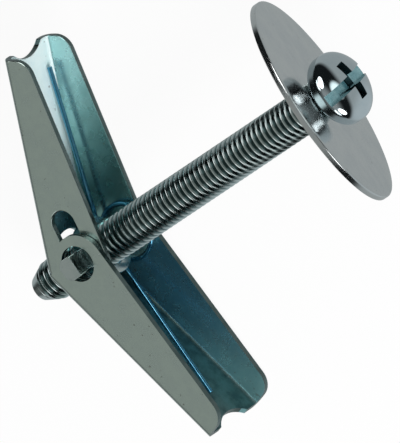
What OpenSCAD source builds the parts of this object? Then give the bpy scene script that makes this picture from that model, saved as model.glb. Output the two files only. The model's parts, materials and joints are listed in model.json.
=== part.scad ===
// Spring toggle bolt: a machine screw with a penny washer, a trunnion nut and two sprung folding wings.
// Each piece is drawn in the bolt's own frame and then laid down as the loose bolt comes to rest.
// Bolt frame: +X along the screw towards its head, Y across the wings, Z along the trunnion pivot,
// with the origin where the pivot crosses the screw's axis.

/* [Screw] */
// Diameter over the thread crests
screw_d = 4.8; // [4.5:0.01:5]
// Length under the head
screw_len = 49.4; // [40:0.1:80]
// Length of tail that sticks out behind the pivot
tail_out = 10.4; // [7:0.1:16]
// Length of the tapered tail point
point_len = 2.2; // [1:0.1:3]
// Diameter of the flat end of the point
point_d = 3; // [2:0.1:3.6]
// Diameter of the head
head_d = 8.4; // [8:0.1:11]
// Height of the head
head_h = 3.3; // [2.8:0.1:4.5]
// Height of the upright rim under the dome
head_rim = 0.7; // [0.4:0.1:1.5]
// Rounding under the head's rim
head_round = 0.5; // [0.1:0.1:0.6]

/* [Drive recess] */
// Width of the straight slot
slot_w = 1.4; // [1:0.1:1.8]
// Depth of the straight slot below the top of the head
slot_depth = 1.7; // [1.2:0.1:2.2]
// Length of the cross recess from arm tip to arm tip
cross_len = 4.9; // [4:0.1:6]
// Width of a cross arm
cross_w = 1.3; // [1:0.1:1.6]
// Depth of the cross recess below the top of the head
cross_depth = 2.4; // [1.8:0.1:3]
// Slope of an arm's end, from upright
cross_slope = 24; // [10:1:35]
// Turn of the recess about the screw's axis, from the pivot's direction
recess_turn = 8; // [-45:1:45]

/* [Washer] */
// Outer diameter
washer_d = 25.6; // [20:0.1:32]
// Thickness
washer_t = 0.7; // [0.6:0.1:1.2]
// How much wider the hole is than the screw
washer_play = 0.92; // [0.6:0.02:1.6]
// Gap left between the leaning washer's hole and the screw
washer_gap = 0.06; // [0.04:0.01:0.2]
// Gap left between the leaning washer and the head
head_gap = 0.05; // [0.02:0.01:0.2]

/* [Trunnion nut] */
// Wall of the round body round the thread
nut_wall = 1.02; // [0.8:0.02:1.1]
// Thickness of the plate
nut_t = 2; // [1.6:0.1:2.4]
// Distance from the pivot to the flat face on the head's side
nut_face = 0.75; // [0.4:0.01:1]
// Gap round the thread crests
thread_gap = 0.05; // [0.02:0.01:0.1]
// Width of a tongue
tongue_w = 2.6; // [2:0.1:2.7]
// Radius of the rounded side of a tongue
tongue_r = 1.4; // [1.3:0.05:1.5]
// How far a tongue stands out past the outer wing
tongue_out = 1.6; // [0.8:0.1:3]

/* [Torsion spring] */
// Diameter of the wire
wire_d = 0.55; // [0.4:0.05:0.6]
// Radius of the coil, to the middle of the wire
coil_r = 3.25; // [2:0.05:3.3]
// Turns of wire that the room for the coil is made for
coil_turns = 1.083319; // [1:0.000001:1.1]
// Gap between the back of the coil and the tongue that it rests on
coil_gap = 0.1; // [0.05:0.05:0.3]
// Gap between neighbouring turns
turn_gap = 0.02; // [0.01:0.01:0.05]
// Gap at each side of the coil, to the screw and to the inner wing's cheek
side_gap = 0.16; // [0.04:0.01:0.3]
// Gap between the coil and the nut's shoulder
shoulder_gap = 0.12; // [0.05:0.01:0.3]
// Length of the leg in the outer wing, from the pivot
outer_leg = 19.7; // [12:0.1:22]
// Length of the leg in the inner wing, from the pivot
inner_leg = 20.2; // [12:0.1:22]
// Where the leg in the outer wing ends along the pivot
outer_leg_z = 0.1; // [-2.4:0.1:2.4]
// Where the leg in the inner wing ends along the pivot
inner_leg_z = -2.8; // [-2.9:0.1:2.9]
// Gap between a leg's end and the web that it presses on
leg_gap = 0.05; // [0.02:0.01:0.2]

/* [Both wings] */
// Thickness of the sheet
sheet_t = 0.7; // [0.6:0.05:0.9]
// Outside radius of the bends
bend_r = 1.2; // [1:0.1:1.6]
// Gap between the inner wing and the outer wing's cheeks
wing_gap = 0.1; // [0.05:0.05:0.3]
// Radius of the rounded corners at the wing tips
tip_r = 2.1; // [0.8:0.1:2.8]
// Gap round a tongue in its pivot hole
hole_play = 0.7; // [0.2:0.05:0.8]
// Half the width of the round notch in each wing's tip
notch_half = 2.8; // [1.6:0.1:3.2]
// Depth of that notch
notch_depth = 1.1; // [0.6:0.1:1.6]

/* [Outer wing] */
// Angle from the screw to the open wing
outer_open = 75.8; // [60:0.1:85]
// Length from the pivot to the tip
outer_len = 23.6; // [22:0.1:29]
// Distance from the pivot to the outside of the web
outer_web = 4.6; // [4.5:0.05:5.1]
// How far the cheeks reach past the pivot, away from the tip
outer_foot = 1.6; // [0:0.1:2]
// Radius of the ears
outer_ear_r = 3.1; // [3:0.05:3.4]
// Distance from the pivot to the centre of the ear's round end, towards the open side
outer_ear_off = 0.4; // [0:0.05:0.6]
// Slope of the open edge against the web
outer_slope = 10.8; // [8:0.1:12]
// Gap left between the root of the open wing's web and the screw
outer_gap = 0.2; // [0.1:0.05:0.5]

/* [Inner wing] */
// Angle from the screw to the open wing
inner_open = 62.6; // [50:0.1:80]
// Length from the pivot to the tip
inner_len = 23.6; // [22:0.1:29]
// Distance from the pivot to the outside of the web
inner_web = 5.15; // [4.6:0.05:5.6]
// How far the web and the cheeks reach past the pivot, away from the tip
inner_foot = 1.5; // [0:0.1:1.8]
// Radius of the ears
inner_ear_r = 3.2; // [3:0.05:3.3]
// Distance from the pivot to the centre of the ear's round end, towards the open side
inner_ear_off = 0.35; // [0:0.05:0.4]
// Slope of the open edge against the web
inner_slope = 13.2; // [12:0.1:15]
// Gap left between the root of the open wing's web and the screw
inner_gap = 1.45; // [0.2:0.05:1.45]
// Length of the keyhole slot, from the pivot to the centre of its round end
keyhole_len = 4.65; // [3.5:0.05:5.5]
// Radius of the keyhole slot's round end
keyhole_r = 1.5; // [1.45:0.05:1.8]
// Angle of the keyhole slot, from the web's direction towards the web
keyhole_turn = 17; // [0:1:30]

/* [Hidden] */
$fn = 64;
ZINC = [0.74, 0.77, 0.76];
ZINC_DARK = [0.60, 0.66, 0.66];
WIRE = [0.50, 0.58, 0.62];
cut = 1; // how far a cutter runs past the surface that it cuts

function unit(v) = v / norm(v);

screw_r = screw_d / 2;
head_r = head_d / 2;
head_at = screw_len - tail_out; // the head's bearing face
dome_h = head_h - head_rim - head_round;
wire_r = wire_d / 2;
nut_r = screw_r + thread_gap + nut_wall;
pivot_hole_r = tongue_r + hole_play;
notch_r = (notch_half ^ 2 + notch_depth ^ 2) / (2 * notch_depth);

// A point of a wing in the bolt's frame: "out" along the web, "over" from the pivot towards the open side.
function outer_point(out, over, z) =
    [out * cos(outer_open) + over * sin(outer_open), over * cos(outer_open) - out * sin(outer_open), z];
function inner_point(out, over, z) =
    [out * cos(inner_open) + over * sin(inner_open), out * sin(inner_open) - over * cos(inner_open), z];

// Each web starts, in its middle, where its inside clears the screw.
outer_root = (screw_r + outer_gap - (outer_web - sheet_t) * cos(outer_open)) / sin(outer_open);
inner_cut_r = screw_r + inner_gap;
inner_root = (inner_cut_r - (inner_web - sheet_t) * cos(inner_open)) / sin(inner_open);

// Spring: the legs push the coil towards the head until its back rests on the tongue. Each leg is a tangent
// of the coil, leaves it on the tail's side and presses on its web at the end.
coil_at = coil_r - wire_r - coil_gap - tongue_r;
leg_rise = sheet_t + leg_gap + wire_r;
function coil_turn(end) = atan2(end.y, end.x - coil_at); // where a leg's end lies, seen from the coil's middle
function coil_reach(end) = acos(coil_r / norm([end.x - coil_at, end.y])); // from there to the tangent's foot
inner_end = inner_point(inner_leg, leg_rise - inner_web, inner_leg_z);
outer_end = outer_point(outer_leg, leg_rise - outer_web, outer_leg_z);
coil_from = coil_turn(inner_end) + coil_reach(inner_end);
coil_to = 720 + coil_turn(outer_end) - coil_reach(outer_end);
coil_in = screw_r + side_gap + wire_r;
coil_out = coil_in + (wire_d + turn_gap) * coil_turns;

// The coil's room sets the inner wing's width, and the outer wing fits over that.
inner_w = 2 * (coil_out + wire_r + side_gap + sheet_t);
outer_w = inner_w + 2 * (sheet_t + wing_gap);
tongue_end = outer_w / 2 + tongue_out;

// The washer leans about Y until its hole binds on the screw, with its upper side on the head.
washer_hole = screw_d + washer_play;
lean = acos((screw_r + washer_gap) / norm([washer_hole / 2, washer_t / 2])) - atan2(washer_t, washer_hole);
washer_at = head_at - head_gap - washer_t / 2 / cos(lean) - (head_r - head_round) * tan(lean);
washer_axis = [cos(lean), 0, -sin(lean)];

// The loose bolt lies on the washer's rim, the far tongue's end and the outer wing's tip.
// Each function gives the lowest point of its piece when "u" points up.
function washer_low(u) = [washer_at, 0, 0] + washer_t / 2 * washer_axis
    - washer_d / 2 * unit(u - (u * washer_axis) * washer_axis);
function tongue_low(u) = [0, 0, -tongue_end] - tongue_r * unit([u.x, u.y, 0]);
tip_low = outer_point(outer_len, bend_r - outer_web, -outer_w / 2);
function up_from(u) = unit(cross(tip_low - tongue_low(u), washer_low(u) - tongue_low(u)));
up = up_from(up_from(up_from([0.15, 0.05, 1])));
along = unit([1, 0, 0] - up.x * up);
across = cross(up, along);

// The floor's point half-way between the lying bolt's ends and half-way between its sides.
tilted = norm([along.y, along.z]);
head_reach = along.x * (head_at + head_h - dome_h) + norm([along.x * dome_h, head_r * tilted]);
tail_reach = along.x * tail_out + tilted * point_d / 2;
inner_reach = across * inner_point(inner_len, -inner_web, inner_w / 2 - bend_r);
outer_reach = -across * outer_point(outer_len, -outer_web, bend_r - outer_w / 2);
middle = [(head_reach - tail_reach) / 2, (inner_reach - outer_reach) / 2, up * tongue_low(up)];

module lay_down() {
    multmatrix([
        [along.x, along.y, along.z, -middle.x],
        [across.x, across.y, across.z, -middle.y],
        [up.x, up.y, up.z, -middle.z],
        [0, 0, 0, 1]
    ])
        children();
}

// Turns what is drawn about +Z so that it stands about +X.
module along_screw() {
    rotate([0, 90, 0]) children();
}

// Half the head's profile: a rounded foot, an upright rim and an elliptical dome.
module head_profile() {
    polygon([for (a = [0:6:90]) [head_r * cos(a), head_round + head_rim + dome_h * sin(a)],
             [0, 0], [head_r - head_round, 0], [head_r - head_round, head_round], [head_r, head_round]]);
    intersection() {
        translate([head_r - head_round, head_round]) circle(head_round);
        square([head_r, head_round]);
    }
}

// One bar of the cross recess, along X, from the top of the head down.
module cross_bar() {
    half = cross_len / 2;
    foot = half - cross_depth * tan(cross_slope);
    rotate([90, 0, 0])
        linear_extrude(cross_w, center = true)
            polygon([[-half, cut], [-half, 0], [-foot, -cross_depth],
                     [foot, -cross_depth], [half, 0], [half, cut]]);
}

module drive_recess() {
    translate([0, 0, head_h])
        rotate([0, 0, recess_turn]) {
            translate([0, 0, (cut - slot_depth) / 2])
                cube([head_d + cut, slot_w, slot_depth + cut], center = true);
            for (turn = [0, 90]) rotate([0, 0, turn]) cross_bar();
        }
}

// The shank and its tapered point, up the Z axis. It runs a little way into the head.
module shank() {
    rotate_extrude()
        polygon([[0, 0], [point_d / 2, 0], [screw_r, point_len], [screw_r, screw_len + head_round],
                 [0, screw_len + head_round]]);
}

module machine_screw() {
    color(ZINC)
        lay_down()
            difference() {
                union() {
                    translate([-tail_out, 0, 0]) along_screw() shank();
                    translate([head_at, 0, 0]) along_screw() rotate_extrude() head_profile();
                }
                translate([head_at, 0, 0]) along_screw() drive_recess();
            }
}

module penny_washer() {
    color(ZINC)
        lay_down()
            translate([washer_at, 0, 0])
                rotate([0, 90 + lean, 0])
                    difference() {
                        cylinder(h = washer_t, d = washer_d, center = true);
                        cylinder(h = washer_t + cut, d = washer_hole, center = true);
                    }
}

// A tongue's section: round towards the tail, flat towards the head.
module tongue_section() {
    intersection() {
        circle(tongue_r);
        translate([nut_face - nut_t, -tongue_w / 2]) square([nut_t, tongue_w]);
    }
}

module trunnion_nut() {
    shoulder = coil_in - wire_r - shoulder_gap;
    color(ZINC_DARK)
        lay_down()
            difference() {
                union() {
                    linear_extrude(2 * tongue_end, center = true) tongue_section();
                    intersection() {
                        translate([nut_face - nut_t, 0, 0]) along_screw() cylinder(h = nut_t, r = nut_r);
                        translate([-nut_t, -nut_r - cut, -shoulder])
                            cube([2 * nut_t, 2 * (nut_r + cut), shoulder + nut_r + cut]);
                    }
                }
                translate([-nut_t, 0, 0]) along_screw() cylinder(h = 2 * nut_t, r = screw_r + thread_gap);
            }
}

// Side view of a wing, through its whole width: a round ear about the pivot, a straight open edge,
// a rounded tip corner and a square foot behind the pivot.
module cheek_block(width, len, web, foot, ear_r, ear_off, slope) {
    edge = [sin(slope), cos(slope)]; // points out of the open edge
    ear = [0, ear_off];
    corner_x = len - tip_r;
    corner = [corner_x, ear_off + (ear_r - tip_r - corner_x * edge.x) / edge.y];
    translate(ear) cylinder(h = width, r = ear_r, center = true);
    translate(corner) cylinder(h = width, r = tip_r, center = true);
    linear_extrude(width, center = true)
        polygon([ear, ear + ear_r * edge, corner + tip_r * edge, [len, corner.y], [len, -web], [-foot, -web],
                 [-foot, ear_off]]);
}

// A bar along X whose two back edges, at Y = -back, are rounded.
module round_backed(from, to, width, back, front, r) {
    translate([from, r - back, -width / 2]) cube([to - from, back - r + front, width]);
    translate([from, -back, r - width / 2]) cube([to - from, back + front, width - 2 * r]);
    for (side = [-1, 1])
        translate([from, r - back, side * (width / 2 - r)]) along_screw() cylinder(h = to - from, r = r);
}

// A folded channel along X, with the outside of its web at Y = -web.
module channel(from, to, width, web, front) {
    difference() {
        round_backed(from, to, width, web, front, bend_r);
        round_backed(from - cut, to + cut, width - 2 * sheet_t, web - sheet_t, front + cut, bend_r - sheet_t);
    }
}

// A wing with its web along X and its open side towards +Y, and the pivot along Z. Its tip is notched.
module folded_wing(width, len, web, foot, ear_r, ear_off, slope) {
    difference() {
        intersection() {
            channel(-ear_r - cut, len + cut, width, web, ear_r + ear_off + cut);
            cheek_block(width + cut, len, web, foot, ear_r, ear_off, slope);
        }
        cylinder(h = width + cut, r = pivot_hole_r, center = true);
        translate([len + notch_r - notch_depth, sheet_t - web + cut, 0])
            rotate([90, 0, 0]) cylinder(h = sheet_t + 2 * cut, r = notch_r);
    }
}

// The outer wing's web is cut back at its root so that the inner wing's cheeks pass.
module outer_wing() {
    color(ZINC)
        lay_down()
            rotate([0, 0, -outer_open])
                difference() {
                    folded_wing(outer_w, outer_len, outer_web, outer_foot, outer_ear_r, outer_ear_off,
                                outer_slope);
                    translate([-outer_foot - cut, -outer_web - cut, sheet_t - outer_w / 2])
                        cube([outer_root + outer_foot + cut, bend_r + cut, outer_w - 2 * sheet_t]);
                }
}

// The inner wing's web is cut round for the screw at its root, and its +Z cheek has a keyhole slot.
module inner_wing() {
    color(ZINC)
        lay_down()
            rotate([0, 0, inner_open])
                mirror([0, 1, 0])
                    difference() {
                        folded_wing(inner_w, inner_len, inner_web, inner_foot, inner_ear_r, inner_ear_off,
                                    inner_slope);
                        translate([inner_root - inner_cut_r, bend_r - inner_web, 0])
                            rotate([90, 0, 0]) cylinder(h = bend_r + cut, r = inner_cut_r);
                        rotate([0, 0, -keyhole_turn]) {
                            translate([keyhole_len, 0, 0]) cylinder(h = inner_w, r = keyhole_r);
                            translate([0, -keyhole_r, 0]) cube([keyhole_len, 2 * keyhole_r, inner_w]);
                        }
                    }
}

// A round wire swept along a list of points that never run along Z.
module wire(path, r, sides) {
    last = len(path) - 1;
    rings = [for (i = [0:last])
        let (run = unit(path[min(i + 1, last)] - path[max(i - 1, 0)]),
             side = unit(cross([0, 0, 1], run)),
             top = cross(run, side))
        for (k = [0:sides - 1])
            path[i] + r * (side * cos(360 * k / sides) + top * sin(360 * k / sides))];
    walls = [for (i = [0:last - 1], k = [0:sides - 1])
        [i * sides + k, (i + 1) * sides + k, (i + 1) * sides + (k + 1) % sides, i * sides + (k + 1) % sides]];
    polyhedron(points = rings,
               faces = concat(walls,
                              [[for (k = [0:sides - 1]) k]],
                              [[for (k = [0:sides - 1]) last * sides + sides - 1 - k]]),
               convexity = 4);
}

module torsion_spring() {
    steps = ceil((coil_to - coil_from) / 15);
    coil = [for (i = [0:steps])
        let (a = coil_from + (coil_to - coil_from) * i / steps)
        [coil_at + coil_r * cos(a), coil_r * sin(a), -coil_in - (coil_out - coil_in) * i / steps]];
    color(WIRE) lay_down() wire(concat([inner_end], coil, [outer_end]), wire_r, 10);
}

machine_screw();
penny_washer();
trunnion_nut();
outer_wing();
inner_wing();
torsion_spring();
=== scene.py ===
"""Spring toggle bolt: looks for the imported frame.

A zinc-plated machine screw, a leaning washer, a trunnion nut, two folded wings and their spring. Sizes are in
millimetres in the bolt's own frame: X along the screw to its head, Y across the wings, Z along the pivot.
BoltFrame places them in the row frame, in metres.
"""

from __future__ import annotations

import json
import logging
import math
from dataclasses import dataclass, replace
from enum import Enum
from typing import Any, Mapping, Optional, Sequence, Union

import bmesh
import bpy
import numpy as np
from mathutils import Matrix, Vector

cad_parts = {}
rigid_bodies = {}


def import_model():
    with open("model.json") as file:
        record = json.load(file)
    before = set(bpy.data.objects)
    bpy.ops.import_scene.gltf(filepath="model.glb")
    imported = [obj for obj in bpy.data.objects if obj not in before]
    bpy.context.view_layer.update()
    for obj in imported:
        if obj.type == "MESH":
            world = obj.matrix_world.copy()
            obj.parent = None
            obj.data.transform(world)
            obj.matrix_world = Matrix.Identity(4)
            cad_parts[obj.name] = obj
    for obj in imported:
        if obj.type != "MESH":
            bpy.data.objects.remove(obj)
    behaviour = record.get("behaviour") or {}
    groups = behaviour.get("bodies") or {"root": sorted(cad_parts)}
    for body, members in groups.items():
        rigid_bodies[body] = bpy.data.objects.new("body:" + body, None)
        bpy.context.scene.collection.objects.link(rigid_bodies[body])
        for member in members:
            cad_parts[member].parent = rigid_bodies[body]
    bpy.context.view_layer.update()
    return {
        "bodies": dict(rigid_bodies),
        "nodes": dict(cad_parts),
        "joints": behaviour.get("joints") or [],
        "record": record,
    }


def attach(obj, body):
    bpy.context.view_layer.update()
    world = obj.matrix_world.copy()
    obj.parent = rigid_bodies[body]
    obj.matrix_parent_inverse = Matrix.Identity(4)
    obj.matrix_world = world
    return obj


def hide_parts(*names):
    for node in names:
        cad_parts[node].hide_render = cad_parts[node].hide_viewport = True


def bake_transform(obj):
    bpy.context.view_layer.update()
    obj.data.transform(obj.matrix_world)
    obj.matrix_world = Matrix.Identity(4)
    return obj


LOG = logging.getLogger("toggle_bolt")
MM = 0.001
TURN = 2.0 * math.pi
MERGE = 2e-7
CUT_MERGE = 1e-6
Colour = tuple[float, float, float, float]


class Slot(Enum):
    """The record's material slots."""

    ZINC = "zinc_plate"
    WIRE = "spring_wire"


# ---------------------------------------------------------------- frame and meshes


@dataclass(frozen=True)
class BoltFrame:
    """The bolt's own frame, as the row frame holds it.

    origin is where the pivot crosses the screw's axis, in metres. The rows of basis are the bolt's X, Y, Z.
    """

    origin: np.ndarray
    basis: np.ndarray

    @classmethod
    def from_joints(cls, joints: Sequence[Mapping[str, Any]]) -> "BoltFrame":
        """Read the frame off the joints: the wings' pivot is Z and the screw's axis is X.

        Args:
            joints: The record's joints.

        Returns:
            The bolt's frame.
        """
        named = {joint["name"]: joint for joint in joints}
        pivot = np.array(named["outer_wing_fold"]["axis"], float)
        along = -np.array(named["screw_turn"]["axis"], float)
        origin = np.array(named["outer_wing_fold"]["pos_m"], float)
        return cls(origin, np.stack([along, np.cross(pivot, along), pivot]))

    def place(self, points: np.ndarray) -> np.ndarray:
        """Points in bolt millimetres, as row metres: origin + x X + y Y + z Z."""
        return self.origin + (np.asarray(points, float) * MM) @ self.basis

    def inside(self, points: np.ndarray) -> np.ndarray:
        """Points in row metres, as bolt millimetres."""
        return (np.asarray(points, float) - self.origin) @ self.basis.T / MM

    def turn(self, direction: Sequence[float]) -> Vector:
        """A direction of the bolt's frame in the row frame."""
        return Vector(np.asarray(direction, float) @ self.basis)


def new_object(name: str, mesh: bpy.types.Mesh) -> bpy.types.Object:
    """Link a mesh to the scene as an object at the origin.

    Args:
        name: The object's name.
        mesh: Its mesh, with its place in it.

    Returns:
        The new object.
    """
    piece = bpy.data.objects.new(name, mesh)
    bpy.context.scene.collection.objects.link(piece)
    return piece


def grid_piece(name: str, points: np.ndarray, frame: BoltFrame, merge: float = MERGE) -> bpy.types.Object:
    """Make a closed piece from a grid whose second axis wraps round.

    Face (i, j) joins grid points (i, j), (i + 1, j), (i + 1, j + 1) and (i, j + 1), with j + 1 taken round.

    Args:
        name: The piece's name.
        points: Grid of points, shaped (rows, columns, 3), in bolt millimetres.
        frame: The bolt's frame.
        merge: Distance under which neighbouring points become one, in metres.

    Returns:
        The new object.
    """
    rows, columns = points.shape[:2]
    i, j = np.meshgrid(np.arange(rows - 1), np.arange(columns), indexing="ij")
    after = (j + 1) % columns
    row, below = i * columns, (i + 1) * columns
    faces = np.stack([row + j, below + j, below + after, row + after], -1)
    mesh = bpy.data.meshes.new(name)
    mesh.from_pydata(frame.place(points.reshape(-1, 3)).tolist(), [], faces.reshape(-1, 4).tolist())
    piece = new_object(name, mesh)
    tidy(piece, merge)
    return piece


def tidy(piece: bpy.types.Object, merge: float = MERGE, flat: float = 0.0, sharp: float = 32.0) -> None:
    """Merge doubles, drop empty faces, turn faces outwards and shade smooth between sharp edges.

    Args:
        piece: The object to tidy.
        merge: Distance under which points become one, in metres.
        flat: Angle in degrees under which neighbouring faces are joined into one, or 0 for none.
        sharp: Angle in degrees over which an edge is sharp.
    """
    work = bmesh.new()
    work.from_mesh(piece.data)
    bmesh.ops.remove_doubles(work, verts=work.verts, dist=merge)
    bmesh.ops.dissolve_degenerate(work, edges=work.edges, dist=merge)
    if flat:
        bmesh.ops.dissolve_limit(work, angle_limit=math.radians(flat), verts=work.verts, edges=work.edges)
    bmesh.ops.recalc_face_normals(work, faces=work.faces)
    work.to_mesh(piece.data)
    work.free()
    piece.data.shade_smooth()
    piece.data.set_sharp_from_angle(angle=math.radians(sharp))


def bevel(piece: bpy.types.Object, width: float, segments: int = 2, angle: float = 40.0) -> None:
    """Round a piece's sharp edges.

    Args:
        piece: The object to bevel.
        width: Bevel width in millimetres.
        segments: Steps across the bevel.
        angle: Angle in degrees over which an edge is beveled.
    """
    rounding = piece.modifiers.new("edge", "BEVEL")
    rounding.width = width * MM
    rounding.segments = segments
    rounding.limit_method = "ANGLE"
    rounding.angle_limit = math.radians(angle)
    smoothing = piece.modifiers.new("flat_faces", "WEIGHTED_NORMAL")
    smoothing.mode = "FACE_AREA"
    smoothing.weight = 100
    smoothing.keep_sharp = True


def apply_modifiers(piece: bpy.types.Object) -> None:
    """Turn a piece's modifiers into its mesh.

    Args:
        piece: The object, which keeps its name and place.
    """
    graph = bpy.context.evaluated_depsgraph_get()
    graph.update()
    mesh = bpy.data.meshes.new_from_object(piece.evaluated_get(graph), depsgraph=graph)
    piece.modifiers.clear()
    piece.data = mesh


def cad_copy(name: str, source: bpy.types.Object, round_edges: float) -> bpy.types.Object:
    """Copy a CAD node's exact shape into a new piece with softened edges.

    Args:
        name: The new piece's name.
        source: The CAD node's object.
        round_edges: Bevel width in millimetres.

    Returns:
        The new object.
    """
    piece = new_object(name, source.data.copy())
    piece.data.materials.clear()
    tidy(piece, CUT_MERGE, flat=0.6)
    bevel(piece, round_edges)
    return piece


def mark(piece: bpy.types.Object, name: str, values: np.ndarray, domain: str) -> None:
    """Write numbers onto a piece's points or faces, for its finish to read.

    Args:
        piece: The object.
        name: The attribute's name.
        values: One number for each point or face.
        domain: "POINT" or "FACE".
    """
    layer = piece.data.attributes.new(name, "FLOAT", domain)
    layer.data.foreach_set("value", np.asarray(values, np.float32))


def read(layer: Any, field: str, width: int = 3) -> np.ndarray:
    """Read one field of a mesh's points or faces.

    Args:
        layer: The mesh's vertices or polygons.
        field: The field's name, such as "co", "center" or "normal".
        width: How many numbers the field has.

    Returns:
        The numbers, shaped (count, width).
    """
    values = np.empty(len(layer) * width, np.float64)
    layer.foreach_get(field, values)
    return values.reshape(-1, width)


def revolve(profile: np.ndarray, columns: int) -> np.ndarray:
    """Carry a profile round the X axis: point (x, r) becomes (x, r cos a, r sin a).

    Args:
        profile: Points (x, r), shaped (rows, 2).
        columns: Steps round the axis.

    Returns:
        Grid of points, shaped (rows, columns, 3).
    """
    angle = np.linspace(0.0, TURN, columns, endpoint=False)
    x = np.repeat(profile[:, :1], columns, axis=1)
    return np.stack([x, profile[:, 1:] * np.cos(angle), profile[:, 1:] * np.sin(angle)], -1)


def arc(centre: Sequence[float], radii: Sequence[float], start: float, end: float, steps: int) -> np.ndarray:
    """Points centre + (rx cos a, ry sin a) for a from start to end, in degrees."""
    angle = np.radians(np.linspace(start, end, steps))
    return np.asarray(centre) + np.asarray(radii) * np.stack([np.cos(angle), np.sin(angle)], -1)


# ---------------------------------------------------------------- shader maths


@dataclass(frozen=True)
class Value:
    """A number in a shader. Python's operators on it add Math nodes."""

    tree: "Tree"
    socket: bpy.types.NodeSocket

    def _math(self, operation: str, first: "Number", second: "Number") -> "Value":
        """Add a Math node and return its result."""
        return self.tree.make("ShaderNodeMath", {"operation": operation}, {0: first, 1: second})

    def __add__(self, other: "Number") -> "Value":
        """self + other."""
        return self._math("ADD", self, other)

    __radd__ = __add__

    def __sub__(self, other: "Number") -> "Value":
        """self - other."""
        return self._math("SUBTRACT", self, other)

    def __rsub__(self, other: "Number") -> "Value":
        """other - self."""
        return self._math("SUBTRACT", other, self)

    def __mul__(self, other: "Number") -> "Value":
        """self * other."""
        return self._math("MULTIPLY", self, other)

    __rmul__ = __mul__


Number = Union[Value, float]


@dataclass(frozen=True)
class Tree:
    """A node tree with one method that makes every node in it."""

    nodes: bpy.types.NodeTree

    def make(
        self,
        kind: str,
        settings: Mapping[str, Any],
        inputs: Mapping[Union[str, int], Any],
        output: Union[str, int] = 0,
    ) -> Value:
        """Make a node.

        Args:
            kind: The node's type.
            settings: Attributes of the node, which are set first.
            inputs: Socket name or number to a Value, or to the number or colour that it holds.
            output: The output that is returned.

        Returns:
            The chosen output.
        """
        node = self.nodes.nodes.new(kind)
        for key, setting in settings.items():
            setattr(node, key, setting)
        for key, value in inputs.items():
            if isinstance(value, Value):
                self.nodes.links.new(value.socket, node.inputs[key])
            else:
                node.inputs[key].default_value = value
        outputs = node.outputs
        return Value(self, outputs[output]) if len(outputs) else Value(self, None)

    def mix(self, factor: Number, first: Union[Value, Colour], second: Union[Value, Colour]) -> Value:
        """Blend two colours.

        Args:
            factor: 0 for the first colour, 1 for the second.
            first: The colour at 0.
            second: The colour at 1.

        Returns:
            The blended colour.
        """
        return self.make(
            "ShaderNodeMix", {"data_type": "RGBA"}, {0: factor, 6: first, 7: second}, output=2
        )

    def noise(self, where: Value, scale: float, detail: float, rough: float = 0.5) -> Value:
        """Fractal noise between 0 and 1.

        Args:
            where: The point that the noise is read at.
            scale: One over the size of the features, in metres.
            detail: How many finer layers are added.
            rough: How strong each finer layer is.

        Returns:
            The noise.
        """
        return self.make(
            "ShaderNodeTexNoise", {}, {"Vector": where, "Scale": scale, "Detail": detail, "Roughness": rough}
        )

    def step(self, value: Value, start: float, end: float, top: float = 1.0) -> Value:
        """A smooth step: 0 up to start, and top from end on.

        Args:
            value: The number that steps.
            start: Where the step starts.
            end: Where the step ends.
            top: How high it ends.

        Returns:
            The step.
        """
        return self.make(
            "ShaderNodeMapRange", {"interpolation_type": "SMOOTHSTEP"},
            {"Value": value, "From Min": start, "From Max": end, "To Min": 0.0, "To Max": top},
        )


def grey(level: float) -> Colour:
    """An opaque grey."""
    return (level, level, level, 1.0)


@dataclass(frozen=True)
class Patch:
    """Where a finish differs: full where the piece's attribute is 1, and absent where it is 0.

    Where fade is set, the patch also grows from nothing to full between those two values of the reach. The
    script's patches paint light, shade and dark reflections into the colour, and a fade paints shade that
    deepens towards the pivot.
    """

    attribute: str
    tint: Colour
    cloud: Colour
    metallic: float
    roughness: float
    fade: Optional[tuple[float, float]] = None

    def cover(self, tree: Tree) -> Value:
        """How much of the patch shows: its attribute, times a smooth step along the piece's reach.

        Args:
            tree: The material's nodes.

        Returns:
            The cover, from 0 to 1.
        """
        here = tree.make("ShaderNodeAttribute", {"attribute_name": self.attribute}, {}, output="Fac")
        if not self.fade:
            return here
        reach = tree.make("ShaderNodeAttribute", {"attribute_name": "reach"}, {}, output="Fac")
        return here * tree.step(reach, self.fade[0], self.fade[1])


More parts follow.
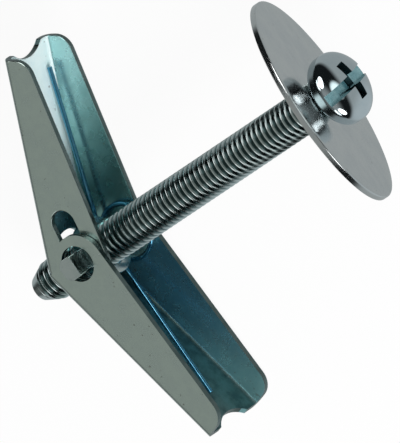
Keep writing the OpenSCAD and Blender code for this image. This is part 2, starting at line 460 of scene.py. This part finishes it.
@dataclass(frozen=True)
class PlatedSteel:
    """Bright zinc plate on steel: mottled passivation, small dark specks and fine rolling marks.

    The lengths ending in _mm are the sizes of the features, in millimetres.
    """

    name: str
    tint: Colour
    cloud: Colour
    speck: Colour
    roughness: float
    cloud_mm: float = 1.6
    uneven: float = 0.10
    specks: float = 0.5
    grain: float = 0.02
    cloud_range: tuple[float, float] = (0.30, 0.70)
    cloud_share: float = 0.7
    patch_share: float = 0.6
    fine_mm: float = 0.16
    speck_mm: float = 0.55
    speck_range: tuple[float, float] = (0.735, 0.80)
    speck_rough: float = 0.15
    marks_mm: float = 0.22
    marks_high_mm: float = 0.05
    patches: tuple[Patch, ...] = ()

    def material(self) -> bpy.types.Material:
        """Build the finish.

        Colour: tint towards cloud by soft and fine noise, then each patch's tint and cloud by its cover, then
        speck where the speck noise peaks. Metal and roughness: their base, blended towards each patch's by the
        same cover. Roughness also takes a part of the noise and of the specks. Bump: fine noise.

        Returns:
            The material.
        """
        material = bpy.data.materials.new(self.name)
        material.use_nodes = True
        material.node_tree.nodes.clear()
        tree = Tree(material.node_tree)
        where = tree.make("ShaderNodeTexCoord", {}, {}, output="Object")
        cloud = tree.noise(where, 1.0 / (self.cloud_mm * MM), 4.0, 0.6)
        fine = tree.noise(where, 1.0 / (self.fine_mm * MM), 3.0, 0.65)
        spot = tree.noise(where, 1.0 / (self.speck_mm * MM), 1.0, 0.3)
        peak = tree.step(spot, *self.speck_range, self.specks)
        soft = tree.step(cloud, *self.cloud_range)
        mottle = soft * self.cloud_share + fine * (1.0 - self.cloud_share)
        patch_mottle = soft * self.patch_share + fine * (1.0 - self.patch_share)
        colour = tree.mix(mottle, self.tint, self.cloud)
        metal: Number = 1.0
        base: Number = self.roughness
        for patch in self.patches:
            cover = patch.cover(tree)
            colour = tree.mix(cover, colour, tree.mix(patch_mottle, patch.tint, patch.cloud))
            metal = metal + cover * (patch.metallic - metal)
            base = base + cover * (patch.roughness - base)
        colour = tree.mix(peak, colour, self.speck)
        rough = soft * self.uneven + fine * (0.5 * self.uneven) + peak * self.speck_rough + base
        marks = tree.noise(where, 1.0 / (self.marks_mm * MM), 3.0, 0.6)
        high = self.marks_high_mm * MM
        normal = tree.make("ShaderNodeBump", {}, {"Strength": self.grain, "Distance": high, "Height": marks})
        shader = tree.make(
            "ShaderNodeBsdfPrincipled", {},
            {"Base Color": colour, "Metallic": metal, "Roughness": rough, "Normal": normal},
        )
        tree.make("ShaderNodeOutputMaterial", {}, {"Surface": shader})
        return material


# Cut edges of the wings: a dark teal painted on them, a painted dark reflection of the room that their faces
# turn to.
CUT_EDGE_PAINTED_REFLECTION = Patch("cut_edge", (0.17, 0.22, 0.21, 1), (0.08, 0.12, 0.115, 1), 1.0, 0.22)
SHEET = PlatedSteel(
    "zinc_sheet", (0.53, 0.625, 0.575, 1), (0.47, 0.555, 0.525, 1), (0.16, 0.15, 0.13, 1), 0.15, grain=0.05
)
INNER_SHEET = replace(SHEET, name="zinc_sheet_inner", patches=(
    # Inside the inner wing's channel, the teal is partly the passivation's colour and partly painted. The web
    # is dark teal near the pivot and a pale, almost matt film from 3 to 13 mm out: painted shade towards the
    # pivot and painted light along the web. The cheeks grow lighter from 9 to 24 mm out: painted shade towards
    # the pivot.
    Patch("web_inside", (0.20, 0.40, 0.44, 1), (0.12, 0.28, 0.32, 1), 0.85, 0.22),
    Patch("web_inside", (0.86, 0.97, 0.97, 1), (0.74, 0.90, 0.92, 1), 0.12, 0.35, fade=(3.0, 13.0)),
    Patch("cheek_inside", (0.30, 0.56, 0.55, 1), (0.22, 0.46, 0.45, 1), 0.86, 0.18),
    Patch("cheek_inside", (0.50, 0.80, 0.80, 1), (0.42, 0.72, 0.72, 1), 0.72, 0.22, fade=(9.0, 24.0)),
    CUT_EDGE_PAINTED_REFLECTION,
))
OUTER_SHEET = replace(SHEET, name="zinc_sheet_outer", patches=(
    # Inside the outer wing's channel there is painted shade over the passivation's teal. The web is near
    # black, and the cheeks are dark blue near the pivot and lighter from 8 to 24 mm out.
    Patch("web_inside", (0.15, 0.25, 0.25, 1), (0.03, 0.07, 0.075, 1), 0.92, 0.26),
    Patch("cheek_inside", (0.15, 0.42, 0.54, 1), (0.09, 0.31, 0.44, 1), 0.86, 0.20),
    Patch("cheek_inside", (0.34, 0.62, 0.63, 1), (0.24, 0.50, 0.53, 1), 0.80, 0.24, fade=(8.0, 24.0)),
    CUT_EDGE_PAINTED_REFLECTION,
))
WASHER = PlatedSteel(
    "zinc_washer", (0.60, 0.62, 0.61, 1), (0.54, 0.57, 0.58, 1), (0.2, 0.19, 0.17, 1), 0.10,
    cloud_mm=2.4, uneven=0.08,
)
SCREW = PlatedSteel(
    "zinc_screw", (0.60, 0.67, 0.66, 1), (0.52, 0.60, 0.60, 1), (0.2, 0.2, 0.2, 1), 0.12,
    specks=0.2, uneven=0.06,
    # Thread roots: a darker teal painted into the thread's hollows, which is painted shade.
    patches=(Patch("thread_root", (0.17, 0.23, 0.23, 1), (0.10, 0.15, 0.15, 1), 1.0, 0.16),),
)
HEAD = PlatedSteel(
    "zinc_head", (0.58, 0.64, 0.66, 1), (0.53, 0.60, 0.63, 1), (0.3, 0.3, 0.3, 1), 0.045,
    cloud_mm=0.9, specks=0.1, uneven=0.03, grain=0.008, patches=(
        # The recess is painted: a lighter teal on its floor is painted light, and near black on its walls is
        # painted shade.
        Patch("recess_floor", (0.46, 0.76, 0.80, 1), (0.22, 0.48, 0.54, 1), 0.70, 0.14),
        Patch("recess_wall", (0.05, 0.12, 0.14, 1), (0.02, 0.05, 0.06, 1), 0.90, 0.12),
    ),
)
NUT = PlatedSteel("zinc_nut", (0.56, 0.63, 0.62, 1), (0.46, 0.54, 0.53, 1), (0.2, 0.19, 0.17, 1), 0.12)
WIRE = PlatedSteel(
    "spring_wire", (0.16, 0.44, 0.60, 1), (0.09, 0.30, 0.46, 1), (0.2, 0.2, 0.22, 1), 0.10,
    specks=0.1, uneven=0.05,
)


def dress(piece: bpy.types.Object, finish: PlatedSteel) -> bpy.types.Object:
    """Give a piece its finish.

    Args:
        piece: The object.
        finish: What it is finished in.

    Returns:
        The same object.
    """
    piece.data.materials.clear()
    piece.data.materials.append(finish.material())
    return piece


# ---------------------------------------------------------------- the pieces


@dataclass(frozen=True)
class Screw:
    """Machine screw: a rolled thread from the point to the head, and a domed head with a slot and a cross."""

    frame: BoltFrame
    diameter: float = 4.8
    pitch: float = 0.8
    thread_depth: float = 0.47
    crest_share: float = 0.14
    flank_share: float = 0.66
    flank_ease: float = 0.06
    thread_steps: int = 72
    root_shade_from: float = 0.12
    root_shade_fade: float = 0.20
    end_skin: float = 0.05
    length: float = 49.4
    tail_out: float = 10.4
    point_len: float = 2.2
    point_d: float = 3.0
    head_d: float = 8.4
    head_h: float = 3.3
    head_rim: float = 0.7
    head_round: float = 0.5
    head_sink: float = 0.25
    head_steps: int = 144
    head_edge: float = 0.07
    slot_w: float = 1.4
    slot_depth: float = 1.7
    cross_len: float = 4.9
    cross_w: float = 1.3
    cross_w_across: float = 1.274
    cross_depth: float = 2.4
    cross_slope: float = 24.0
    recess_turn: float = 8.0
    recess_skin: float = 0.1
    floor_facing: float = 0.6

    @property
    def head_at(self) -> float:
        """Where the head's bearing face is along the screw."""
        return self.length - self.tail_out

    def thread_radius(self, phase: np.ndarray) -> np.ndarray:
        """Radius over one pitch: flat crest at phase 0.5, eased flanks, and a flat root round phase 0.

        The drop below the crest is depth (t - ease sin 2 pi t), for t from 0 to 1 across a flank.

        Args:
            phase: Share of a pitch, from 0 to 1.

        Returns:
            The radius at each phase, in millimetres.
        """
        away = np.abs(phase - 0.5) * 2.0
        ramp = np.clip((away - self.crest_share) / self.flank_share, 0.0, 1.0)
        eased = ramp - self.flank_ease * np.sin(TURN * ramp)
        return self.diameter / 2.0 - self.thread_depth * eased

    def thread_points(self) -> np.ndarray:
        """Points of the helical thread.

        Row t and column a are at x = start + pitch (t + a / 2 pi), held between the tail and the head, with
        the radius of phase t. Near the tail the radius is the smaller of the thread's and the cone's.

        Returns:
            Grid of points with both ends closed on the axis.
        """
        half = np.array([0.05, 0.10, 0.16, 0.27, 0.37, 0.425, 0.445])
        phases = np.concatenate([[0.0], half, [0.5], (1.0 - half)[::-1]])
        start, end = -self.tail_out, self.head_at + self.head_sink
        turns = np.arange(-1, math.ceil((end - start) / self.pitch) + 1)
        rows = (turns[:, None] + phases[None, :]).ravel()
        angle = np.linspace(0.0, TURN, self.thread_steps, endpoint=False)
        x = start + self.pitch * (rows[:, None] + angle[None, :] / TURN)
        x = np.clip(x, start, end)
        radius = np.repeat(self.thread_radius(rows % 1.0)[:, None], len(angle), axis=1)
        cone = self.point_d / 2.0 + (x - start) * (self.diameter - self.point_d) / (2.0 * self.point_len)
        smooth = np.minimum(radius, cone)
        radius = np.where(x >= end, self.diameter / 2.0 - self.thread_depth, smooth)
        body = np.stack([x, radius * np.cos(angle), radius * np.sin(angle)], -1)
        dip = np.zeros((1, len(angle), 3))
        dip[..., 0] = start
        shut = np.zeros((1, len(angle), 3))
        shut[..., 0] = end
        return np.concatenate([dip, body, shut])

    def root_share(self, points: np.ndarray) -> np.ndarray:
        """How deep points lie in the thread: 0 near the crest and on the tail's end, 1 from a third down.

        Args:
            points: Points in bolt millimetres, shaped (count, 3).

        Returns:
            One number for each point.
        """
        x, radius = points[:, 0] + self.tail_out, np.hypot(points[:, 1], points[:, 2])
        cone = self.point_d / 2.0 + x * (self.diameter - self.point_d) / (2.0 * self.point_len)
        depth = (np.minimum(self.diameter / 2.0, cone) - radius) / self.thread_depth
        return np.clip((depth - self.root_shade_from) / self.root_shade_fade, 0.0, 1.0) * (x > self.end_skin)

    def head_profile(self) -> np.ndarray:
        """Half the head's outline from the bearing face round to the top: foot, rim and elliptical dome.

        Returns:
            Points (x, r), shaped (count, 2).
        """
        radius, foot = self.head_d / 2.0, self.head_round
        dome = self.head_h - self.head_rim - foot
        under = np.stack([np.zeros(10), np.linspace(0.0, radius - foot, 10)], -1)
        rounded = arc((foot, radius - foot), (foot, foot), 180.0, 90.0, 10)
        side = np.stack([np.linspace(foot, foot + self.head_rim, 6), np.full(6, radius)], -1)
        top = arc((foot + self.head_rim, 0.0), (dome, radius), 90.0, 0.0, 48)
        profile = np.concatenate([under, rounded[1:], side[1:], top[1:]])
        return profile + np.array([self.head_at, 0.0])

    def in_recess(self, points: np.ndarray) -> np.ndarray:
        """Whether points lie recess_skin or more under the dome and the rim, in the slot or the cross.

        Args:
            points: Points in bolt millimetres, shaped (count, 3).

        Returns:
            True for each point in the recess.
        """
        x = points[:, 0] - self.head_at
        rim = self.head_round + self.head_rim
        rise = np.clip((x - rim) / (self.head_h - rim), 0.0, 1.0)
        skin = self.head_d / 2.0 * np.sqrt(1.0 - rise * rise)
        return (np.hypot(points[:, 1], points[:, 2]) < skin - self.recess_skin) & (x > self.head_round)

    def prism(self, name: str, outline: np.ndarray, width: float, turn: float) -> bpy.types.Object:
        """A cutter: an outline of (across, x) points, carried through a width and turned about the screw.

        Args:
            name: The cutter's name.
            outline: Points (across, x), shaped (count, 2).
            width: How wide the cutter is.
            turn: Turn about the screw's axis, in degrees.

        Returns:
            The cutter's object.
        """
        angle = math.radians(turn)
        across = np.array([0.0, -math.sin(angle), math.cos(angle)])
        side = np.array([0.0, math.cos(angle), math.sin(angle)])
        flat = outline[:, :1] * across + outline[:, 1:] * np.array([1.0, 0.0, 0.0])
        near, far = flat - side * width / 2.0, flat + side * width / 2.0
        shut = [np.repeat(end.mean(0)[None], len(outline), 0) for end in (near, far)]
        return grid_piece(name, np.stack([shut[0], near, far, shut[1]]), self.frame)

    def build_head(self) -> bpy.types.Object:
        """Revolve the head, then cut the slot and both bars of the cross out of it.

        Returns:
            The head.
        """
        head = grid_piece("screw_head", revolve(self.head_profile(), self.head_steps), self.frame)
        top = self.head_at + self.head_h
        half = self.cross_len / 2.0
        foot = half - self.cross_depth * math.tan(math.radians(self.cross_slope))
        reach, above = self.head_d, top + 1.0
        floor, deep = top - self.slot_depth, top - self.cross_depth
        slot = np.array([[-reach, above], [-reach, floor], [reach, floor], [reach, above]])
        bar = np.array([[-half, above], [-half, top], [-foot, deep],
                        [foot, deep], [half, top], [half, above]])
        cutters = [
            self.prism("cut_slot", slot, self.slot_w, self.recess_turn),
            self.prism("cut_bar_a", bar, self.cross_w, self.recess_turn),
            self.prism("cut_bar_b", bar, self.cross_w_across, self.recess_turn + 90.0),
        ]
        for cutter in cutters:
            cut = head.modifiers.new("recess", "BOOLEAN")
            cut.object = cutter
            cut.operation = "DIFFERENCE"
            cut.solver = "EXACT"
        apply_modifiers(head)
        for cutter in cutters:
            bpy.data.objects.remove(cutter)
        tidy(head, CUT_MERGE)
        bevel(head, self.head_edge, angle=38.0)
        return head

    def build(self) -> list[bpy.types.Object]:
        """Build and dress the shank and the head.

        Returns:
            The screw's pieces.
        """
        shank = dress(grid_piece("screw_thread", self.thread_points(), self.frame), SCREW)
        points = self.frame.inside(read(shank.data.vertices, "co"))
        # The thread_root mark carries painted shade into the thread's hollows.
        mark(shank, "thread_root", self.root_share(points), "POINT")
        head = dress(self.build_head(), HEAD)
        apply_modifiers(head)
        inside = self.in_recess(self.frame.inside(read(head.data.polygons, "center")))
        # Floor faces take the recess's painted light, and wall faces take its painted shade.
        up = read(head.data.polygons, "normal") @ self.frame.basis[0] > self.floor_facing
        mark(head, "recess_floor", inside & up, "FACE")
        mark(head, "recess_wall", inside & ~up, "FACE")
        for piece in (shank, head):
            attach(piece, "screw")
            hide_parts("machine_screw")
        return [shank, head]


@dataclass(frozen=True)
class Washer:
    """Stamped washer, rolled over at one edge and crisp at the other, leaning on the shank."""

    frame: BoltFrame
    outer: float = 25.6
    thickness: float = 0.7
    hole: float = 5.72
    centre: float = 36.8874
    lean: float = 24.3988
    rolled: float = 0.16
    crisp: float = 0.05
    face_steps: int = 14
    ring_steps: int = 192

    def points(self) -> np.ndarray:
        """The washer's closed section carried round its own axis, leaned about Y and moved along the screw.

        The section's corners are quarter arcs: rolled on the head's side and crisp on the other.

        Returns:
            Grid of points; its rows start and end on the same ring.
        """
        half, out, hole = self.thickness / 2.0, self.outer / 2.0, self.hole / 2.0
        big, small = self.rolled, self.crisp
        count = self.face_steps
        face = np.linspace(hole + big, out - big, count)
        back = np.linspace(out - small, hole + small, count)
        section = np.concatenate([
            np.stack([np.full(count, half), face], -1),
            arc((half - big, out - big), (big, big), 0.0, 90.0, 7)[1:],
            arc((small - half, out - small), (small, small), 90.0, 180.0, 4),
            np.stack([np.full(count, -half), back], -1)[1:],
            arc((small - half, hole + small), (small, small), 180.0, 270.0, 4)[1:],
            arc((half - big, hole + big), (big, big), 270.0, 360.0, 7),
        ])
        ring = revolve(section, self.ring_steps)
        lean = math.radians(self.lean)
        axis = np.array([math.cos(lean), 0.0, -math.sin(lean)])
        low = np.array([math.sin(lean), 0.0, math.cos(lean)])
        side = np.array([0.0, 1.0, 0.0])
        return (ring[..., :1] * axis + ring[..., 1:2] * side + ring[..., 2:] * low
                + np.array([self.centre, 0.0, 0.0]))

    def build(self) -> list[bpy.types.Object]:
        """Build and dress the washer.

        Returns:
            The washer's piece.
        """
        piece = dress(grid_piece("washer_disc", self.points(), self.frame), WASHER)
        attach(piece, "washer")
        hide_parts("penny_washer")
        return [piece]


@dataclass(frozen=True)
class Channel:
    """How a wing's folded channel lies: its opening angle, its side of the screw and its web.

    web is from the pivot to the web's back, and bend is the room over the sheet that the bends take.
    """

    open_angle: float
    side: float
    web: float
    sheet: float = 0.7
    bend: float = 0.55
    over_back: float = 0.3
    facing: float = 0.5
    facing_back: float = 0.3

    def mark_faces(self, piece: bpy.types.Object, frame: BoltFrame) -> None:
        """Mark a wing's faces: inside of the web, inside of the cheeks, and cut edges.

        "out" runs along the web and "over" from the web to the open side. A web's inside faces over and lies
        one sheet in from the web's back; a cheek's inside faces the middle plane; a cut edge faces neither
        across the wing nor away from the web. Reach is how far a point lies out from the pivot.

        Args:
            piece: The wing.
            frame: The bolt's frame.
        """
        angle = math.radians(self.open_angle)
        over = np.array([math.sin(angle), -self.side * math.cos(angle), 0.0])
        centre = frame.inside(read(piece.data.polygons, "center"))
        normal = read(piece.data.polygons, "normal") @ frame.basis.T
        height, facing = centre @ over + self.web, normal @ over
        web_side = height < self.sheet + self.bend
        inward = -normal[:, 2] * np.sign(centre[:, 2])
        web_inside = web_side & (height > self.over_back) & (facing > self.facing)
        cheek_inside = (inward > self.facing) & ~web_inside
        back = web_side & (facing < -self.facing_back)
        across = np.abs(normal[:, 2]) > self.facing
        # The web_inside and cheek_inside marks carry the wings' painted light and shade.
        mark(piece, "web_inside", web_inside, "FACE")
        mark(piece, "cheek_inside", cheek_inside, "FACE")
        # The cut_edge mark carries the painted dark reflection on the cut edges.
        mark(piece, "cut_edge", ~(web_inside | cheek_inside | back | across), "FACE")
        out = np.array([math.cos(angle), self.side * math.sin(angle), 0.0])
        mark(piece, "reach", frame.inside(read(piece.data.vertices, "co")) @ out, "POINT")


@dataclass(frozen=True)
class StampedPart:
    """A stamped piece that keeps the CAD node's exact shape, with its edges broken."""

    frame: BoltFrame
    name: str
    node: str
    body: str
    finish: PlatedSteel
    channel: Optional[Channel] = None
    edge: float = 0.16

    def build(self, nodes: Mapping[str, bpy.types.Object]) -> list[bpy.types.Object]:
        """Copy the node, dress the copy and let it stand for the node.

        Args:
            nodes: The frame's CAD nodes.

        Returns:
            The new piece.
        """
        piece = cad_copy(self.name, nodes[self.node], self.edge)
        if self.channel:
            apply_modifiers(piece)
            self.channel.mark_faces(piece, self.frame)
        dress(piece, self.finish)
        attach(piece, self.body)
        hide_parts(self.node)
        return [piece]


@dataclass(frozen=True)
class Spring:
    """One wire: a coil round the far tongue and a straight leg into each wing."""

    frame: BoltFrame
    wire: float = 0.55
    coil_radius: float = 3.25
    coil_at: float = 1.475
    coil_in: float = 2.835
    coil_out: float = 3.45249
    coil_from: float = 158.927
    coil_to: float = 549.053
    inner_end: tuple[float, float, float] = (5.6338, 19.8322, -2.8)
    outer_end: tuple[float, float, float] = (1.36679, -19.975, 0.1)
    wire_steps: int = 20
    coil_steps: int = 110
    leg_steps: int = 60
    leg_bend: float = 0.18
    tip_width: float = 0.85
    tip_out: float = 0.05

    def tube(self, name: str, path: np.ndarray) -> bpy.types.Object:
        """Carry a circle along a path that never runs along Z.

        The circle's first axis is Z cross the path's run, and its second is the run cross the first.

        Args:
            name: The piece's name.
            path: Points in bolt millimetres.

        Returns:
            The wire, closed at both ends.
        """
        run = np.gradient(path, axis=0)
        run /= np.linalg.norm(run, axis=1, keepdims=True)
        side = np.cross([0.0, 0.0, 1.0], run)
        side /= np.linalg.norm(side, axis=1, keepdims=True)
        rise = np.cross(run, side)
        angle = np.linspace(0.0, TURN, self.wire_steps, endpoint=False)
        ring = side[:, None] * np.cos(angle)[None, :, None] + rise[:, None] * np.sin(angle)[None, :, None]
        radius = self.wire / 2.0
        body = path[:, None] + radius * ring
        tips = [path[0] - run[0] * self.tip_out, path[-1] + run[-1] * self.tip_out]
        rims = [(tip + radius * self.tip_width * rim)[None] for tip, rim in zip(tips, (ring[0], ring[-1]))]
        caps = [np.repeat(tip[None, None], len(angle), axis=1) for tip in tips]
        return grid_piece(name, np.concatenate([caps[0], rims[0], body, rims[1], caps[1]]), self.frame)

    def coil_point(self, angle: np.ndarray) -> np.ndarray:
        """Helix round Z, which moves from coil_in out to coil_out as the angle grows.

        Args:
            angle: Angles about Z, in degrees.

        Returns:
            Points on the middle of the wire, shaped (count, 3).
        """
        share = (angle - self.coil_from) / (self.coil_to - self.coil_from)
        turn = np.radians(angle)
        return np.stack([self.coil_at + self.coil_radius * np.cos(turn), self.coil_radius * np.sin(turn),
                         -self.coil_in - (self.coil_out - self.coil_in) * share], -1)

    def leg(self, name: str, end: Sequence[float], at: float) -> bpy.types.Object:
        """A straight leg from the coil to its end on a web.

        Args:
            name: The piece's name.
            end: The leg's end.
            at: The coil's angle where the leg leaves it, in degrees.

        Returns:
            The leg.
        """
        root = self.coil_point(np.array([at]))[0]
        share = np.linspace(0.0, 1.0, self.leg_steps)[:, None]
        piece = self.tube(name, root + (np.asarray(end) - root) * share)
        dress(piece, WIRE)
        start, stop = self.frame.place(np.stack([root, root + (np.asarray(end) - root) * self.leg_bend]))
        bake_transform(piece)
        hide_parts("torsion_spring")
        return piece

    def build(self) -> list[bpy.types.Object]:
        """Build and dress the coil and both legs.

        Returns:
            The spring's pieces.
        """
        turn = np.linspace(self.coil_from, self.coil_to, self.coil_steps)
        coil = self.tube("spring_coil", self.coil_point(turn))
        dress(coil, WIRE)
        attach(coil, "nut")
        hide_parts("torsion_spring")
        return [
            coil,
            self.leg("spring_inner_leg", self.inner_end, self.coil_from),
            self.leg("spring_outer_leg", self.outer_end, self.coil_to),
        ]


# ---------------------------------------------------------------- studio


@dataclass(frozen=True)
class Card:
    """A card of the room that metal reflects: a cone round way, full to inner and gone at outer degrees."""

    way: tuple[float, float, float]
    inner: float
    outer: float
    colour: Colour


@dataclass(frozen=True)
class Studio:
    """Pale floor, a room of cards for the metal to reflect, a soft lamp and the camera."""

    frame: BoltFrame
    look: tuple[float, float, float] = (0.62, 0.0, 0.785)
    right: tuple[float, float, float] = (0.652, -0.556, -0.515)
    aim: tuple[float, float, float] = (13.41, -3.61, 0.0)
    view_height: float = 48.88
    lens: float = 1400.0
    sensor: float = 36.0
    floor_half: float = 3.0
    floor_under: float = 0.00005
    floor_glow: float = 0.94
    fill: float = 0.35
    key_way: tuple[float, float, float] = (0.28, -0.80, 0.53)
    key_size: float = 0.16
    key_far: float = 0.35
    key_power: float = 1.2
    room: Colour = (0.01, 0.012, 0.013, 1.0)
    cards: tuple[Card, ...] = (
        Card((0.2, -0.3, 0.93), 20.0, 60.0, (0.34, 0.36, 0.36, 1.0)),
        Card((-0.73, -0.07, 0.68), 28.0, 52.0, (0.36, 0.375, 0.36, 1.0)),
        Card((0.0, 0.0, -1.0), 72.0, 86.0, (0.41, 0.44, 0.445, 1.0)),
        Card((0.30, -0.62, -0.72), 20.0, 45.0, (0.55, 0.60, 0.62, 1.0)),
        Card((0.985, 0.0, 0.17), 9.0, 21.0, (1.5, 1.7, 1.7, 1.0)),
        Card((-0.62, 0.60, 0.50), 10.0, 20.0, grey(1.6)),
        Card((-0.62, -0.60, 0.50), 10.0, 20.0, grey(1.6)),
        Card((0.36, 0.60, 0.72), 16.0, 18.0, grey(4.0)),
        Card((0.35, -0.87, 0.35), 13.0, 15.0, grey(4.0)),
    )

    def camera(self) -> None:
        """Set a very long lens along the look direction, so that the view is nearly parallel."""
        data = bpy.data.cameras.new("camera")
        data.lens = self.lens
        data.sensor_width = self.sensor
        data.clip_start, data.clip_end = 0.05, 50.0
        camera = bpy.data.objects.new("camera", data)
        bpy.context.scene.collection.objects.link(camera)
        back = self.frame.turn(self.look).normalized()
        right = self.frame.turn(self.right)
        right = (right - back * right.dot(back)).normalized()
        up = back.cross(right)
        place = Matrix((right, up, back)).transposed().to_4x4()
        distance = self.view_height * MM * self.lens / self.sensor
        place.translation = Vector(self.frame.place(np.array(self.aim))) + back * distance
        camera.matrix_world = place
        bpy.context.scene.camera = camera

    def world(self) -> None:
        """White to the camera, a room of cards and floor to reflections, and soft grey to everything else.

        The room starts dark. Each card then covers a cone round its direction, with a soft rim.
        """
        world = bpy.data.worlds.new("studio")
        bpy.context.scene.world = world
        world.use_nodes = True
        world.node_tree.nodes.clear()
        tree = Tree(world.node_tree)
        way = tree.make("ShaderNodeTexCoord", {}, {}, output="Generated")
        room: Union[Value, Colour] = self.room
        for card in self.cards:
            facing = tree.make(
                "ShaderNodeVectorMath", {"operation": "DOT_PRODUCT"},
                {0: way, 1: tuple(Vector(card.way).normalized())}, output="Value",
            )
            outer, inner = (math.cos(math.radians(angle)) for angle in (card.outer, card.inner))
            cover = tree.step(facing, outer, inner)
            room = tree.mix(cover, room, card.colour)
        glossy = tree.make("ShaderNodeLightPath", {}, {}, output="Is Glossy Ray")
        seen = tree.make("ShaderNodeLightPath", {}, {}, output="Is Camera Ray")
        colour = tree.mix(seen, tree.mix(glossy, grey(self.fill), room), grey(1.0))
        shine = tree.make("ShaderNodeBackground", {}, {"Color": colour, "Strength": 1.0})
        tree.make("ShaderNodeOutputWorld", {}, {"Surface": shine})

    def floor(self) -> None:
        """A pale floor that keeps a faint shadow, and that reflections look past."""
        size = self.floor_half
        corners = [(-size, -size, 0.0), (size, -size, 0.0), (size, size, 0.0), (-size, size, 0.0)]
        mesh = bpy.data.meshes.new("floor")
        mesh.from_pydata(corners, [], [(0, 1, 2, 3)])
        floor = new_object("floor", mesh)
        floor.location.z = -self.floor_under
        material = bpy.data.materials.new("pale_floor")
        material.use_nodes = True
        material.node_tree.nodes.clear()
        tree = Tree(material.node_tree)
        matt = tree.make("ShaderNodeBsdfDiffuse", {}, {"Color": grey(0.95)})
        glow = tree.make("ShaderNodeEmission", {}, {"Color": grey(1.0), "Strength": 1.0})
        seen = tree.make("ShaderNodeLightPath", {}, {}, output="Is Camera Ray")
        both = tree.make("ShaderNodeMixShader", {}, {0: seen * self.floor_glow, 1: matt, 2: glow})
        tree.make("ShaderNodeOutputMaterial", {}, {"Surface": both})
        mesh.materials.append(material)
        floor.visible_glossy = False

    def key(self) -> None:
        """A square area lamp that lights the bolt softly, and that reflections don't show."""
        data = bpy.data.lights.new("key", "AREA")
        data.size = self.key_size
        data.energy = self.key_power
        lamp = bpy.data.objects.new("key", data)
        bpy.context.scene.collection.objects.link(lamp)
        direction = Vector(self.key_way).normalized()
        lamp.location = direction * self.key_far
        lamp.rotation_euler = direction.to_track_quat("Z", "Y").to_euler()
        lamp.visible_glossy = False

    def build(self) -> None:
        """Set up the whole studio."""
        self.world()
        self.floor()
        self.camera()
        self.key()
        bpy.context.scene.view_settings.view_transform = "Standard"


def main() -> None:
    """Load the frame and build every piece."""
    logging.basicConfig(level=logging.INFO, format="%(name)s: %(message)s")
    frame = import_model()
    bolt = BoltFrame.from_joints(frame["joints"])
    Studio(bolt).build()
    nodes = frame["nodes"]
    made = [
        *Screw(bolt).build(),
        *Washer(bolt).build(),
        *StampedPart(bolt, "nut_trunnion", "trunnion_nut", "nut", NUT).build(nodes),
        *StampedPart(bolt, "wing_outer", "outer_wing", "outer_wing", OUTER_SHEET,
                     Channel(open_angle=75.8, side=-1.0, web=4.6)).build(nodes),
        *StampedPart(bolt, "wing_inner", "inner_wing", "inner_wing", INNER_SHEET,
                     Channel(open_angle=62.6, side=1.0, web=5.15)).build(nodes),
        *Spring(bolt).build(),
    ]
    for piece in made:
        LOG.info("%s: %d faces", piece.name, len(piece.data.polygons))
    bpy.context.view_layer.update()


if __name__ == "__main__":
    main()
